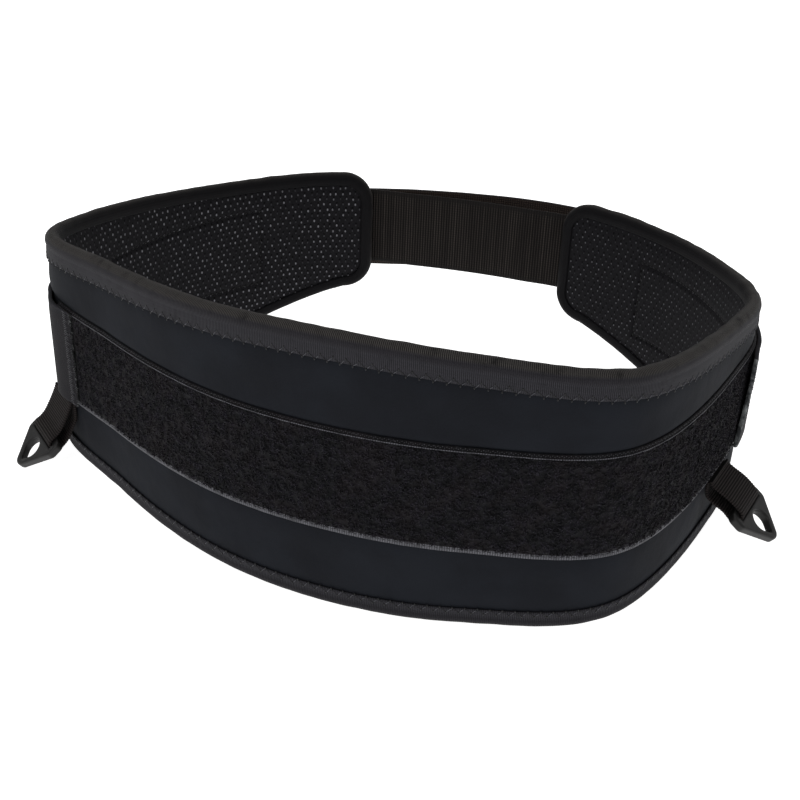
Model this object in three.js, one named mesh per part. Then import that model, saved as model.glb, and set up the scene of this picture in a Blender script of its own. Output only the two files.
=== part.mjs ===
// A wading belt standing on a flat surface, fastened into a loop.
// Millimetres, +Z up, the tall back support at the front (-Y), the strap across the gap at +Y.
//
// Every cloth piece is a flat strip bent round one loop line. A place on a strip is
// (along, up, out): along the loop line from the middle of the support, up from the
// strap's centre line, and out from the loop line, which the binding's outer face follows.

import * as THREE from 'three';

// The loop line seen from above, as the belt is laid, one row a station, to the right from the front.
const LOOP_STATIONS = [
  { x: 11, y: -141 },
  { x: 71, y: -136 },
  { x: 135, y: -113 },
  { x: 170, y: -23 },
  { x: 173, y: 28 },
  { x: 125, y: 103 },
  { x: 30, y: 140 },
  { x: -94, y: 118 },
  { x: -157, y: 47 },
  { x: -172, y: -58 },
  { x: -115, y: -101 },
  { x: -48, y: -132 },
];
const LOOP_FACETS = 84;

// The support's edges above and below the strap's centre line, from its middle to either end.
const SUPPORT_EDGES = [
  { along: 0, top: 71.2, bottom: -68.7 },
  { along: 90, top: 66.6, bottom: -66 },
  { along: 180, top: 58.8, bottom: -60.9 },
  { along: 270, top: 46.5, bottom: -60.7 },
  { along: 350, top: 38.4, bottom: -57.8 },
  { along: 430, top: 37.7, bottom: -36.1 },
  { along: 445, top: 37.7, bottom: -34 },
];
const SUPPORT_END = 445;
const CORNER_RADIUS = 18;
const CORNER_STEPS = 4;

// Layers of the support, each from its inner to its outer face.
const NEOPRENE = { inner: -5.2, outer: -1.2, inset: 4.5 };
const LINING = { inner: -6.3, outer: -5.5, inset: 6 };

// The binding tape folded round the support's edge: a round bead and two flat legs.
const BEAD_RADIUS = 3.75;
const BINDING_WIDTH = 11;
const TAPE_THICKNESS = 0.9;
const SLOT_DEPTH = 3.3;
const BINDING_JOINT = 0.5;

// The loop band across the support, the strap that closes on it and the elastic between the ends.
const BAND = { from: -182, to: 300, height: 54, inner: -0.9, thickness: 2 };
const STRAP = { height: 50, thickness: 2.2 };
const ELASTIC = { height: 47, rise: 2, thickness: 1.8 };

// Where the strap's inner face runs, from its sewn end at the left, round the back, to its free end.
const STRAP_ROUTE = [
  { along: -167, out: 1.4 },
  { along: -186, out: 1.4 },
  { along: -198, out: -0.9 },
  { along: -325, out: -0.9 },
  { along: -340, out: 0.3 },
  { along: -408, out: 0.3 },
  { along: -421, out: 2.4 },
  { along: -445, out: 3.2 },
  { along: -475, out: 5.8 },
  { along: -506, out: 9 },
  { along: -540, out: 13 },
  { along: -566, out: 15.5 },
  { along: -592, out: 13 },
  { along: -620, out: 6 },
  { along: -644, out: 0.9 },
  { along: -672, out: 0.3 },
  { along: -687, out: -0.9 },
  { along: -698, out: -0.9 },
  { along: -709, out: 1.4 },
  { along: -752, out: 1.4 },
  { along: -768, out: 2.2 },
];

// Where the elastic's inner face runs, from the left end of the support to the right.
const ELASTIC_ROUTE = [
  { along: -424, out: 0.3 },
  { along: -447, out: 0.3 },
  { along: -473, out: -3.4 },
  { along: -539, out: -3.4 },
  { along: -565, out: 0.3 },
  { along: -588, out: 0.3 },
];

// The two ring tabs: the place of their middle along the band's lower edge, and where the near
// edge of the ring hangs from there, out and up, and how far its far end droops.
const TABS = [
  { side: 'left', along: -187, out: 9.4, up: -21, droop: 40 },
  { side: 'right', along: 223, out: 13.5, up: -13.5, droop: 38 },
];
const WEBBING_WIDTH = 24.6;
const WEBBING_THICKNESS = 1.3;
const WEBBING_STEPS = 26;
const FIT_GAP = 0.3;

// A moulded ring: a bar for the webbing, a slot, and a tapering eye.
const RING = {
  width: 33,
  length: 25,
  thickness: 4.6,
  bevel: 0.7,
  tipRadius: 5,
  cornerRadius: 3.5,
  shoulder: 7,
};
const RING_BAR = 4;
const RING_SLOT = { width: 25.4, height: 3.2 };
const RING_EYE = { from: 10, to: 20.6, wideRadius: 3.9, tipRadius: 1.8 };

// The loop leans back until the support's lower edge meets the surface at the front and behind.
const LEAN_BACK = THREE.MathUtils.degToRad(2.2);

const COLOURS = {
  neoprene: 0x17181b,
  lining: 0x1c1c1e,
  binding: 0x1b1a19,
  band: 0x141415,
  strap: 0x161514,
  webbing: 0x181817,
  plastic: 0x232326,
};

function cloth(colour) {
  return new THREE.MeshStandardMaterial({ color: colour, roughness: 0.9, metalness: 0 });
}

function makeLoop() {
  const points = LOOP_STATIONS.map(({ x, y }) => new THREE.Vector3(x, y, 0));
  const curve = new THREE.CatmullRomCurve3(points, true, 'centripetal');
  curve.arcLengthDivisions = 3000;
  const length = curve.getLength();
  const posts = [];
  for (let i = 0; i < LOOP_FACETS; i += 1) {
    const share = i / LOOP_FACETS;
    const tangent = curve.getTangentAt(share);
    posts.push({
      place: curve.getPointAt(share),
      outward: new THREE.Vector3(tangent.y, -tangent.x, 0),
    });
  }
  return { length, posts, pitch: length / LOOP_FACETS };
}

const loop = makeLoop();

// A point of the bent belt; between two posts of the loop it lies on the flat facet that joins them.
function bend(along, up, out) {
  const position = THREE.MathUtils.euclideanModulo(along / loop.pitch, LOOP_FACETS);
  const first = Math.floor(position) % LOOP_FACETS;
  const share = position - Math.floor(position);
  const [a, b] = [loop.posts[first], loop.posts[(first + 1) % LOOP_FACETS]];
  const start = a.place.clone().addScaledVector(a.outward, out);
  const end = b.place.clone().addScaledVector(b.outward, out);
  const point = start.lerp(end, share);
  point.z = up;
  return point;
}

// The support's top and bottom edge at a place along the loop, the same on both sides of its middle.
const edgeCurve = (() => {
  const mirrored = SUPPORT_EDGES.slice(1).reverse().map((row) => ({ ...row, along: -row.along }));
  const rows = [...mirrored, ...SUPPORT_EDGES];
  const values = rows.flatMap(({ top, bottom }) => [top, bottom]);
  return new THREE.CubicInterpolant(rows.map(({ along }) => along), values, 2);
})();

// The support's edges drawn in by an inset, with its corners rounded.
function supportEdges(along, inset) {
  const [top, bottom] = edgeCurve.evaluate(along);
  const radius = CORNER_RADIUS - inset;
  const intoCorner = Math.max(0, Math.abs(along) - (SUPPORT_END - CORNER_RADIUS));
  const drop = radius - Math.sqrt(Math.max(0, radius ** 2 - intoCorner ** 2));
  return { top: top - inset - drop, bottom: bottom + inset + drop };
}

// Places along the loop that a strip needs: its ends, the loop's posts between them and its own rows.
function stationsBetween(from, to, extra = []) {
  const stations = [from, to, ...extra];
  for (let k = Math.ceil(from / loop.pitch); k * loop.pitch < to; k += 1) {
    stations.push(k * loop.pitch);
  }
  stations.sort((a, b) => a - b);
  return stations.filter((value, i) => i === 0 || value - stations[i - 1] > 0.05);
}

function cornerStations(inset) {
  const radius = CORNER_RADIUS - inset;
  const stations = [];
  for (let i = 0; i <= CORNER_STEPS; i += 1) {
    const turn = (i / CORNER_STEPS) * (Math.PI / 2);
    const along = SUPPORT_END - CORNER_RADIUS + radius * Math.sin(turn);
    stations.push(along, -along);
  }
  return stations;
}

// A box bent round the loop: face(along) names its bottom, top, inner and outer faces there.
function bentStrip(stations, face) {
  const geometry = new THREE.BoxGeometry(1, 1, 1, stations.length - 1, 1, 1);
  const position = geometry.attributes.position;
  for (let i = 0; i < position.count; i += 1) {
    const along = stations[Math.round((position.getX(i) + 0.5) * (stations.length - 1))];
    const { bottom, top, inner, outer } = face(along);
    const up = position.getY(i) > 0 ? top : bottom;
    const out = position.getZ(i) > 0 ? outer : inner;
    position.setXYZ(i, ...bend(along, up, out));
  }
  geometry.computeVertexNormals();
  return geometry;
}

function supportLayer({ inner, outer, inset }) {
  const end = SUPPORT_END - inset;
  const stations = stationsBetween(-end, end, cornerStations(inset));
  return bentStrip(stations, (along) => ({ ...supportEdges(along, inset), inner, outer }));
}

// The outline of the support, anticlockwise from the middle of its right end, with the way inwards.
function bindingPath() {
  const corner = SUPPORT_END - CORNER_RADIUS;
  const path = [];
  const addCorner = (side, level, edge, turns) => {
    for (const turn of turns) {
      const cos = Math.cos(turn);
      const sin = Math.sin(turn);
      path.push({
        along: side * (corner + CORNER_RADIUS * cos),
        up: edge - level * CORNER_RADIUS * (1 - sin),
        inward: { along: -side * cos, up: -level * sin },
      });
    }
  };
  const rising = Array.from({ length: CORNER_STEPS + 1 }, (_, i) => (i / CORNER_STEPS) * (Math.PI / 2));
  const falling = [...rising].reverse();
  const { top, bottom } = supportEdges(corner, 0);
  const middle = (top + bottom) / 2;
  const posts = stationsBetween(-corner, corner).slice(1, -1);
  path.push({ along: SUPPORT_END, up: middle, inward: { along: -1, up: 0 } });
  addCorner(1, 1, top, rising);
  for (const along of [...posts].reverse()) {
    path.push({ along, up: supportEdges(along, 0).top, inward: { along: 0, up: -1 } });
  }
  addCorner(-1, 1, top, falling);
  addCorner(-1, -1, bottom, rising);
  for (const along of posts) {
    path.push({ along, up: supportEdges(along, 0).bottom, inward: { along: 0, up: 1 } });
  }
  addCorner(1, -1, bottom, falling);
  path.push({ along: SUPPORT_END, up: middle - BINDING_JOINT, inward: { along: -1, up: 0 } });
  return path;
}

// The binding's section: x runs inwards from the support's edge, y outwards through its thickness.
function bindingSection() {
  const innerFace = -2 * BEAD_RADIUS;
  const section = new THREE.Shape();
  section.moveTo(BINDING_WIDTH, 0);
  section.absarc(BEAD_RADIUS, -BEAD_RADIUS, BEAD_RADIUS, Math.PI / 2, (3 * Math.PI) / 2, false);
  section.lineTo(BINDING_WIDTH, innerFace);
  section.lineTo(BINDING_WIDTH, innerFace + TAPE_THICKNESS);
  section.lineTo(SLOT_DEPTH, innerFace + TAPE_THICKNESS);
  section.lineTo(SLOT_DEPTH, -TAPE_THICKNESS);
  section.lineTo(BINDING_WIDTH, -TAPE_THICKNESS);
  return section;
}

function edgeBinding() {
  const path = bindingPath();
  const steps = path.length - 1;
  const options = { depth: 1, steps, curveSegments: 3, bevelEnabled: false };
  const geometry = new THREE.ExtrudeGeometry(bindingSection(), options);
  const position = geometry.attributes.position;
  for (let i = 0; i < position.count; i += 1) {
    const { along, up, inward } = path[Math.round(position.getZ(i) * steps)];
    const depth = position.getX(i);
    const bent = bend(along + inward.along * depth, up + inward.up * depth, position.getY(i));
    position.setXYZ(i, ...bent);
  }
  geometry.computeVertexNormals();
  return geometry;
}

// A strap of even height on a route that gives its inner face.
function routedStrip(route, { height, rise = 0, thickness }) {
  const rows = [...route].sort((a, b) => a.along - b.along);
  const places = rows.map(({ along }) => along);
  const routeCurve = new THREE.LinearInterpolant(places, rows.map(({ out }) => out), 1);
  const stations = stationsBetween(places[0], places[places.length - 1], places);
  return bentStrip(stations, (along) => {
    const [inner] = routeCurve.evaluate(along);
    return { bottom: rise - height / 2, top: rise + height / 2, inner, outer: inner + thickness };
  });
}

function loopBand() {
  const face = {
    bottom: -BAND.height / 2,
    top: BAND.height / 2,
    inner: BAND.inner,
    outer: BAND.inner + BAND.thickness,
  };
  return bentStrip(stationsBetween(BAND.from, BAND.to), () => face);
}

// The webbing's side view: down from the band, over the ring's bar, through its slot and back up
// the panel behind itself.
function webbingGeometry({ out, up, droop }) {
  const clearance = FIT_GAP + WEBBING_THICKNESS / 2;
  const overBar = RING.thickness / 2 + clearance;
  const besideBar = RING_BAR + clearance;
  const ring = new THREE.Vector2(out, up);
  const angle = THREE.MathUtils.degToRad(droop);
  const lengthwise = new THREE.Vector2(Math.cos(angle), -Math.sin(angle));
  const upwards = new THREE.Vector2(Math.sin(angle), Math.cos(angle));
  const inRing = (x, z) => ring.clone().addScaledVector(lengthwise, x).addScaledVector(upwards, z);
  const back = NEOPRENE.outer + clearance;
  const front = back + WEBBING_THICKNESS + FIT_GAP;
  const foldRadius = 1.4;
  const route = [
    new THREE.Vector2(front, -FIT_GAP),
    new THREE.Vector2(front + 0.3, -1.8),
    inRing(-RING_BAR, overBar + 0.6),
    inRing(RING_BAR - 0.4, overBar),
    inRing(besideBar, overBar - foldRadius),
    inRing(besideBar, foldRadius - overBar),
    inRing(RING_BAR - 0.4, -overBar),
    inRing(-RING_BAR / 2, -overBar),
    new THREE.Vector2(back + 1.2, up / 2 - 3),
    new THREE.Vector2(back, up / 2),
    new THREE.Vector2(back, -1.4),
  ];
  const points = route.map(({ x, y }) => new THREE.Vector3(x, y, 0));
  const line = new THREE.CatmullRomCurve3(points, false, 'centripetal')
    .getSpacedPoints(WEBBING_STEPS)
    .map(({ x, y }) => new THREE.Vector2(x, y));
  const side = (offset) => line.map((point, i) => {
    const before = line[Math.max(0, i - 1)];
    const after = line[Math.min(line.length - 1, i + 1)];
    const tangent = after.clone().sub(before).normalize();
    return point.clone().add(new THREE.Vector2(-tangent.y, tangent.x).multiplyScalar(offset));
  });
  const half = WEBBING_THICKNESS / 2;
  const shape = new THREE.Shape([...side(half), ...side(-half).reverse()]);
  const geometry = new THREE.ExtrudeGeometry(shape, { depth: WEBBING_WIDTH, steps: 1, bevelEnabled: false });
  geometry.rotateX(Math.PI / 2);
  geometry.translate(0, WEBBING_WIDTH / 2, 0);
  return geometry;
}

function ringOutline() {
  const { width, length, bevel } = RING;
  const tip = RING.tipRadius - bevel;
  const corner = RING.cornerRadius - bevel;
  const cornerY = width / 2 - bevel - corner;
  const shoulder = new THREE.Vector2(RING.shoulder, cornerY);
  const span = new THREE.Vector2(length - bevel - tip, 0).sub(shoulder);
  const lean = Math.atan2(-span.y, span.x) - Math.asin((corner - tip) / span.length());
  const turn = Math.PI / 2 - lean;
  const shape = new THREE.Shape();
  shape.absarc(length - bevel - tip, 0, tip, -turn, turn, false);
  shape.absarc(shoulder.x, cornerY, corner, turn, Math.PI / 2, false);
  shape.absarc(bevel + corner, cornerY, corner, Math.PI / 2, Math.PI, false);
  shape.absarc(bevel + corner, -cornerY, corner, Math.PI, (3 * Math.PI) / 2, false);
  shape.absarc(shoulder.x, -cornerY, corner, (3 * Math.PI) / 2, 2 * Math.PI - turn, false);
  return shape;
}

// The bevel fills the outline out to its size, and closes the holes down to theirs.
function slotHole() {
  const { bevel } = RING;
  const near = RING_BAR - bevel;
  const far = RING_BAR + RING_SLOT.height + bevel;
  const half = RING_SLOT.width / 2 + bevel;
  const hole = new THREE.Path();
  hole.moveTo(near, -half);
  hole.lineTo(far, -half);
  hole.lineTo(far, half);
  hole.lineTo(near, half);
  hole.closePath();
  return hole;
}

function eyeHole() {
  const wide = RING_EYE.from + RING_EYE.wideRadius;
  const narrow = RING_EYE.to - RING_EYE.tipRadius;
  const wideRadius = RING_EYE.wideRadius + RING.bevel;
  const tipRadius = RING_EYE.tipRadius + RING.bevel;
  const lean = Math.asin((wideRadius - tipRadius) / (narrow - wide));
  const turn = Math.PI / 2 - lean;
  const hole = new THREE.Path();
  hole.absarc(narrow, 0, tipRadius, turn, -turn, true);
  hole.absarc(wide, 0, wideRadius, -turn, turn, true);
  hole.closePath();
  return hole;
}

function ringGeometry() {
  const shape = ringOutline();
  shape.holes.push(slotHole(), eyeHole());
  const { thickness, bevel } = RING;
  const geometry = new THREE.ExtrudeGeometry(shape, {
    depth: thickness - 2 * bevel,
    steps: 1,
    curveSegments: 5,
    bevelEnabled: true,
    bevelThickness: bevel,
    bevelSize: bevel,
    bevelSegments: 1,
  });
  geometry.translate(0, 0, bevel - thickness / 2);
  return geometry;
}

function namedMesh(name, geometry, material) {
  const mesh = new THREE.Mesh(geometry, material);
  mesh.name = name;
  return mesh;
}

// A webbing tab and its ring, flat against the loop's nearest facet, in a frame whose x points
// out of the belt and z up.
function ringTab(tab, webbing, plastic) {
  const group = new THREE.Group();
  const facet = Math.floor(tab.along / loop.pitch) * loop.pitch;
  const upward = new THREE.Vector3(0, 0, 1);
  const sideways = bend(facet + loop.pitch, 0, 0).sub(bend(facet, 0, 0)).normalize();
  const outward = new THREE.Vector3().crossVectors(sideways, upward);
  const basis = new THREE.Matrix4().makeBasis(outward, sideways, upward);
  group.quaternion.setFromRotationMatrix(basis);
  group.position.copy(bend(facet + loop.pitch / 2, -BAND.height / 2, 0));
  group.add(namedMesh(`${tab.side}_tab_webbing`, webbingGeometry(tab), webbing));
  const ring = namedMesh(`${tab.side}_ring`, ringGeometry(), plastic);
  ring.position.set(tab.out, 0, tab.up);
  ring.rotation.y = THREE.MathUtils.degToRad(tab.droop);
  group.add(ring);
  return group;
}

function makeBelt() {
  const belt = new THREE.Group();
  belt.add(namedMesh('neoprene_support', supportLayer(NEOPRENE), cloth(COLOURS.neoprene)));
  belt.add(namedMesh('mesh_lining', supportLayer(LINING), cloth(COLOURS.lining)));
  belt.add(namedMesh('edge_binding', edgeBinding(), cloth(COLOURS.binding)));
  belt.add(namedMesh('loop_band', loopBand(), cloth(COLOURS.band)));
  const strap = routedStrip(STRAP_ROUTE, STRAP);
  belt.add(namedMesh('closure_strap', strap, cloth(COLOURS.strap)));
  const elastic = routedStrip(ELASTIC_ROUTE, ELASTIC);
  belt.add(namedMesh('back_elastic', elastic, cloth(COLOURS.strap)));
  const webbing = cloth(COLOURS.webbing);
  const plastic = new THREE.MeshStandardMaterial({ color: COLOURS.plastic, roughness: 0.5, metalness: 0 });
  for (const tab of TABS) {
    belt.add(ringTab(tab, webbing, plastic));
  }
  return belt;
}

// Leans the belt back and stands it on z = 0, with the middle of its footprint at the origin.
function standOnSurface(belt) {
  belt.rotation.x = -LEAN_BACK;
  const box = new THREE.Box3().setFromObject(belt, true);
  const middle = box.getCenter(new THREE.Vector3());
  belt.position.set(-middle.x, -middle.y, -box.min.z);
  const standing = new THREE.Group();
  standing.add(belt);
  return standing;
}

export default standOnSurface(makeBelt());
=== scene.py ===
"""A wading belt: a neoprene waist support with a loop band, a strap, an elastic and two plastic rings.

Sizes are in millimetres. "Along" is measured round the belt's line from the middle of the front,
growing to the right; "up" is measured from the band's middle and "out" from the support's face.
"""

import bisect
import math
import random

import bmesh
import bpy
from mathutils import Matrix, Vector, noise
from mathutils.geometry import interpolate_bezier


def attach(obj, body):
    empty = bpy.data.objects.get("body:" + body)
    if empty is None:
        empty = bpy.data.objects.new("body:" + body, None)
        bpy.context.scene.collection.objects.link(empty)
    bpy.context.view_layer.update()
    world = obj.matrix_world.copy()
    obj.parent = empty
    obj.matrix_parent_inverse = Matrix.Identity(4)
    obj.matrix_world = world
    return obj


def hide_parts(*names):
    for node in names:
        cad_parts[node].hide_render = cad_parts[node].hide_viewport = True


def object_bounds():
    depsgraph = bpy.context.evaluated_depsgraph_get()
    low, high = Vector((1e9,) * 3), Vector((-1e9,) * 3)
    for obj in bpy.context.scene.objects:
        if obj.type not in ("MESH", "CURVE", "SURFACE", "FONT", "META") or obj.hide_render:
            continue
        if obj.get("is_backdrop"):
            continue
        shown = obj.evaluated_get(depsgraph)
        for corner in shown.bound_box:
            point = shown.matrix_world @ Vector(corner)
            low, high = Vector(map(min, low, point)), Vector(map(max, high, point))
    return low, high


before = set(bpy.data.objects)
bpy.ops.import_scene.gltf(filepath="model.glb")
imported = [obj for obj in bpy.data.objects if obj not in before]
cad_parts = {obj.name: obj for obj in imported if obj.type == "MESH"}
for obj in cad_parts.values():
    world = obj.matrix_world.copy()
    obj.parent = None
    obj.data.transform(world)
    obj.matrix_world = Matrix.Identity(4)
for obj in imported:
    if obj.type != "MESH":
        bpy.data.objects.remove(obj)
CAD_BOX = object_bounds()

MM = 0.001

# The camera, at the photograph's angle
CAMERA = {
    "lens": 58.15,
    "azimuth": 17.205,
    "elevation": 32.222,
    "distance": 707.48,
    "roll": 1.446,
    "target": (-12.46, 0, 19.43),
}

# The belt's line and how it stands
LOOP_STATIONS = [
    *[(11, -141), (71, -136), (135, -113), (170, -23), (173, 28), (125, 103)],
    *[(30, 140), (-94, 118), (-157, 47), (-172, -58), (-115, -101), (-48, -132)],
]
LOOP_FACETS = 84
LEAN_BACK = math.radians(2.2)
STANDING_PLACE = (-9.039, -6.131, 63.381)
TABLE_STEP = 0.5

# The support's top and bottom edges, as (along, up), the same on both halves
TOP_EDGE = [(0, 71.2), (90, 66.6), (180, 58.8), (270, 46.5), (350, 38.4), (430, 37.7), (445, 37.7)]
BOTTOM_EDGE = [(0, -68.7), (90, -66), (180, -60.9), (270, -60.7), (350, -57.8), (430, -36.1), (445, -34)]
SUPPORT_END = 445
CORNER_RADIUS = 18
CORNER = SUPPORT_END - CORNER_RADIUS

NEOPRENE = {"inner": -5.2, "outer": -1.2, "inset": 4.5}
LINING = {"inner": -6.3, "outer": -5.5, "inset": 6}
FOAM_SWELL = 0.9
SUPPORT_STEP = 3

# The stitched boxes on the lining, as (from, to, bottom, top), and their stitches
LINING_BOXES = [(-372, -205, -29, 18), (236, 387, -30.5, 15)]
LINING_STITCH = 3.2
DOT_PITCH = {"along": 4.1, "up": 3.4}
DOT_SIZE = {"along": 0.56, "up": 0.78}

# The binding's section: depth inwards from the edge, and out
TAPE = 0.9
TAPE_STEP = 2.2
BEAD = 3.75
BINDING_WIDE = 12.8
BINDING_NARROW = 9.4
BINDING_INSIDE = 7.2
BINDING_RIB = 0.82
ZIGZAG = {"pitch": 5.6, "slant": math.radians(46), "inset": 1, "arm": 3.6}

# The band, with a bare lower edge, a ridge under its top edge, and two lines pressed into its pile
BAND = {"from": -182, "to": 300, "height": 54, "inner": -0.9, "thickness": 1.5}
BAND_HALF = BAND["height"] / 2
BAND_FACE = BAND["inner"] + BAND["thickness"]
SELVEDGE = 2.7
RIDGE_DOWN = 2
PILE_LOOPS = 26000
PRESSED_LINES = (-158, -146)

# The strap and the elastic, and where they run, as (along, out) of their inner faces
STRAP = {"height": 50, "rise": 0, "thickness": 2.2}
STRAP_PEEL = 2.2
ELASTIC = {"height": 47, "rise": 2, "thickness": 1.8}
ELASTIC_RIB = 1.6
STRAP_ROUTE = [
    *[(-768, 1.1), (-752, 1.1), (-709, 1.2), (-698, -0.9), (-687, -0.9), (-672, 0.3), (-644, 0.9)],
    *[(-620, 6), (-592, 13), (-566, 15.5), (-540, 13), (-506, 9), (-475, 5.8), (-445, 3.2)],
    *[(-421, 2.4), (-408, 0.3), (-340, 0.3), (-325, -0.9), (-198, -0.9), (-186, 1.4), (-167, 1.4)],
]
FREE_END = STRAP_ROUTE[0][0]
SEWN_END = STRAP_ROUTE[-1][0]
ELASTIC_ROUTE = [(-588, 0.3), (-565, 0.3), (-539, -3.4), (-473, -3.4), (-447, 0.3), (-424, 0.3)]

# The webbing tabs and their rings
TABS = [
    {"side": "left", "along": -187, "out": 9.4, "up": -21, "droop": 40},
    {"side": "right", "along": 223, "out": 13.5, "up": -13.5, "droop": 38},
]
WEBBING = {"width": 24.6, "thickness": 1.3, "rib": 1.3}
FIT_GAP = 0.3
RING = {"width": 33, "length": 25, "thickness": 4.6, "tip": 5, "corner": 3.5, "shoulder": 7}
RING_EDGE = 1.1
RING_BAR = 4
RING_SLOT = {"width": 25.4, "height": 2.1}
RING_EYE = {"from": 8.6, "to": 21.2, "wide": 5.4, "tip": 2.2}


# Curves and places

def spline(points, closed):
    """A smooth line through the points, as many short steps."""
    count = len(points)
    if closed:
        around = [points[-1], *points, points[0], points[1]]
    else:
        around = [2 * points[0] - points[1], *points, 2 * points[-1] - points[-2]]
    line = []
    for i in range(count if closed else count - 1):
        before, start, end, after = around[i : i + 4]
        gaps = [math.sqrt((b - a).length) for a, b in ((before, start), (start, end), (end, after))]
        leave = (start - before) / gaps[0] - (end - before) / (gaps[0] + gaps[1]) + (end - start) / gaps[1]
        arrive = (end - start) / gaps[1] - (after - start) / (gaps[1] + gaps[2]) + (after - end) / gaps[2]
        reach = gaps[1] / 3
        line.extend(interpolate_bezier(start, start + leave * reach, end - arrive * reach, end, 200)[:-1])
    line.append(points[0] if closed else points[-1])
    return line


def even_steps(line, step):
    """The same line as points a step apart, and its length."""
    lengths = [0]
    for a, b in zip(line, line[1:]):
        lengths.append(lengths[-1] + (b - a).length)
    total = lengths[-1]
    count = round(total / step)
    points = []
    for i in range(count + 1):
        want = total * i / count
        k = min(max(bisect.bisect_right(lengths, want) - 1, 0), len(line) - 2)
        share = (want - lengths[k]) / (lengths[k + 1] - lengths[k])
        points.append(line[k].lerp(line[k + 1], share))
    return points, total


def belt_line():
    """Points of the belt's line with the way out of the belt at each, and the line's length."""
    stations = [Vector((x, y, 0)) for x, y in LOOP_STATIONS]
    points, length = even_steps(spline(stations, closed=True), TABLE_STEP)
    points = points[:-1]
    posts = []
    for i, point in enumerate(points):
        tangent = (points[(i + 1) % len(points)] - points[i - 1]).normalized()
        posts.append((point, Vector((tangent.y, -tangent.x, 0))))
    return posts, length


BELT_LINE, BELT_LENGTH = belt_line()
STANDING = Matrix.Scale(MM, 4) @ Matrix.Translation(STANDING_PLACE) @ Matrix.Rotation(-LEAN_BACK, 4, "X")


def line_at(along):
    """The belt line's point and way out at a place along it."""
    place = (along % BELT_LENGTH) / BELT_LENGTH * len(BELT_LINE)
    first = int(place)
    share = place - first
    start, start_out = BELT_LINE[first % len(BELT_LINE)]
    end, end_out = BELT_LINE[(first + 1) % len(BELT_LINE)]
    return start.lerp(end, share), start_out.lerp(end_out, share)


def on_belt(along, up, out):
    """A place on the belt as a point of the frame, in metres."""
    point, outward = line_at(along)
    ground = point + outward * out
    return STANDING @ Vector((ground.x, ground.y, up))


def belt_frame(along, up, out):
    """A frame on the belt's face, in millimetres: x along it, y up it and z out of it."""
    point, outward = line_at(along)
    ground = point + outward * out
    axes = Matrix((
        (-outward.y, 0, outward.x, ground.x),
        (outward.x, 0, outward.y, ground.y),
        (0, 1, 0, up),
        (0, 0, 0, 1),
    ))
    return STANDING @ axes


def graded(rows, along):
    """A smooth value through rows of (along, value)."""
    i = min(max(bisect.bisect_right(rows, (along, math.inf)) - 1, 0), len(rows) - 2)
    before, start, end, after = rows[max(i - 1, 0)], rows[i], rows[i + 1], rows[min(i + 2, len(rows) - 1)]
    span = end[0] - start[0]
    leave = (end[1] - before[1]) / (end[0] - before[0]) * span
    arrive = (after[1] - start[1]) / (after[0] - start[0]) * span
    t = min(max((along - start[0]) / span, 0), 1)
    rise = t * t * (3 - 2 * t)
    return start[1] + (end[1] - start[1]) * rise + leave * t * (1 - t) ** 2 - arrive * t * t * (1 - t)


def both_halves(rows):
    """The rows of one half of the belt, with the next row of the other half before them."""
    return [(-rows[1][0], rows[1][1]), *rows]


SUPPORT_TOP = both_halves(TOP_EDGE)
SUPPORT_BOTTOM = both_halves(BOTTOM_EDGE)


def support_edges(along, inset):
    """The support's bottom and top at a place along it, rounded off at its four corners."""
    radius = CORNER_RADIUS - inset
    into_corner = max(0, abs(along) - CORNER)
    drop = radius - math.sqrt(max(0, radius**2 - into_corner**2))
    bottom = graded(SUPPORT_BOTTOM, abs(along)) + inset + drop
    top = graded(SUPPORT_TOP, abs(along)) - inset - drop
    return bottom, top


def spaced(start, end, pitch):
    """Places from start to end, about a pitch apart."""
    count = max(1, round(abs(end - start) / pitch))
    return [start + (end - start) * i / count for i in range(count + 1)]


def eased(value, low, high):
    """0 below low, 1 above high, and a soft rise between them."""
    t = min(max((value - low) / (high - low), 0), 1)
    return t * t * (3 - 2 * t)


def drift(x, y, layer):
    """A random value from -1 to 1 that changes slowly with x and y, and another in each layer."""
    return noise.noise(Vector((x, y, layer)))


# Making pieces

def sealed(shape):
    """The shape with its seams joined and its faces turned outwards."""
    bmesh.ops.remove_doubles(shape, verts=shape.verts, dist=1e-6)
    bmesh.ops.recalc_face_normals(shape, faces=shape.faces)
    return shape


def woven(stations, section, place):
    """A closed piece of cloth: a grid with its columns at the stations and its rows round the section.

    place turns a station and a mark of the section into a point and a place on the flat cloth.
    """
    cloth = bmesh.new()
    columns, rows = len(stations) - 1, len(section) - 1
    bmesh.ops.create_grid(cloth, x_segments=columns, y_segments=rows, size=0.5)
    flat = cloth.loops.layers.uv.new("flat")
    placed = []
    for vert in cloth.verts:
        station = stations[round((vert.co.x + 0.5) * columns)]
        mark = section[round((vert.co.y + 0.5) * rows)]
        placed.append(place(station, mark))
    cloth.verts.index_update()
    for face in cloth.faces:
        for corner in face.loops:
            corner[flat].uv = placed[corner.vert.index][1]
    for vert, (point, _) in zip(cloth.verts, placed):
        vert.co = point
    return sealed(cloth)


def added(name, data):
    """The data as a new object of the scene."""
    thing = bpy.data.objects.new(name, data)
    bpy.context.scene.collection.objects.link(thing)
    return thing


def solid_of(name, shape, finishes):
    """The shape as a new object with these finishes."""
    mesh = bpy.data.meshes.new(name)
    shape.to_mesh(mesh)
    shape.free()
    for finish in finishes:
        mesh.materials.append(finish)
    return added(name, mesh)


def piece_of(name, shape, finishes, slot, *nodes):
    """The shape as a piece of the belt that stands for the named solids."""
    piece = solid_of(name, shape, finishes)
    piece.data.shade_smooth()
    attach(piece, "root")
    if nodes:
        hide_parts(*nodes)
    return piece


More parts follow.
